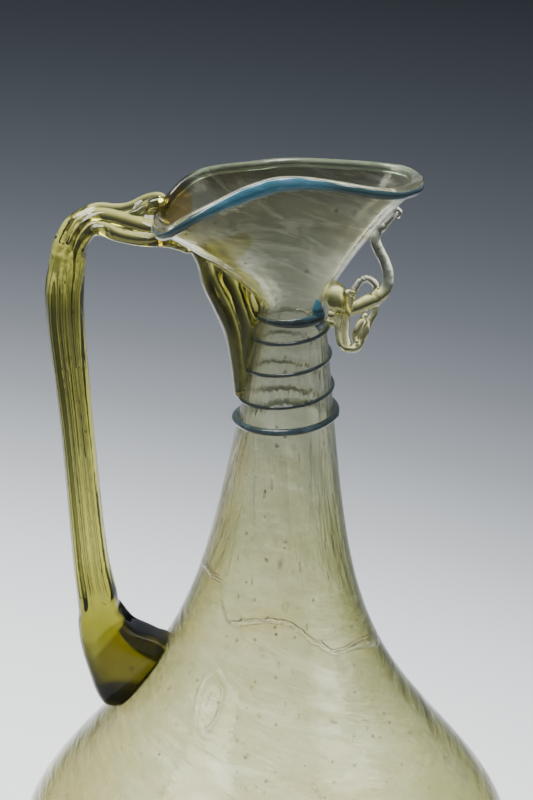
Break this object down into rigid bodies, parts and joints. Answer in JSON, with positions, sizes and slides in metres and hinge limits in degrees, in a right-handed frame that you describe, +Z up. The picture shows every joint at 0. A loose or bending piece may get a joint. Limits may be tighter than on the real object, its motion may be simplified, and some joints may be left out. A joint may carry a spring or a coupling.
{
  "type": "ewer",
  "caption": "Blown glass ewer with a round body on a foot, slender neck, boat-shaped pouring mouth, ribbed strap handle, coloured trails and a curled rod under the spout.",
  "frame": {"origin": "on the floor that the foot stands on, on the axis of the round body", "axes": "+Z up, +X towards the pouring spout, -X towards the handle"},
  "size_m": [0.125, 0.1244, 0.2468],
  "materials": {
    "pale_glass": "blown, clear, with fine bubbles, streaks and weathered patches",
    "turquoise_glass": "opaque, glossy",
    "olive_glass": "thick, clear, yellow-green, ribbed",
    "clear_glass": "clear, glossy"
  },
  "bodies": {
    "root": {"vessel": "pale_glass", "rim_trail": "turquoise_glass", "neck_spiral": "turquoise_glass", "handle": "olive_glass", "spout_tendril": "clear_glass"}
  },
  "joints": []
}
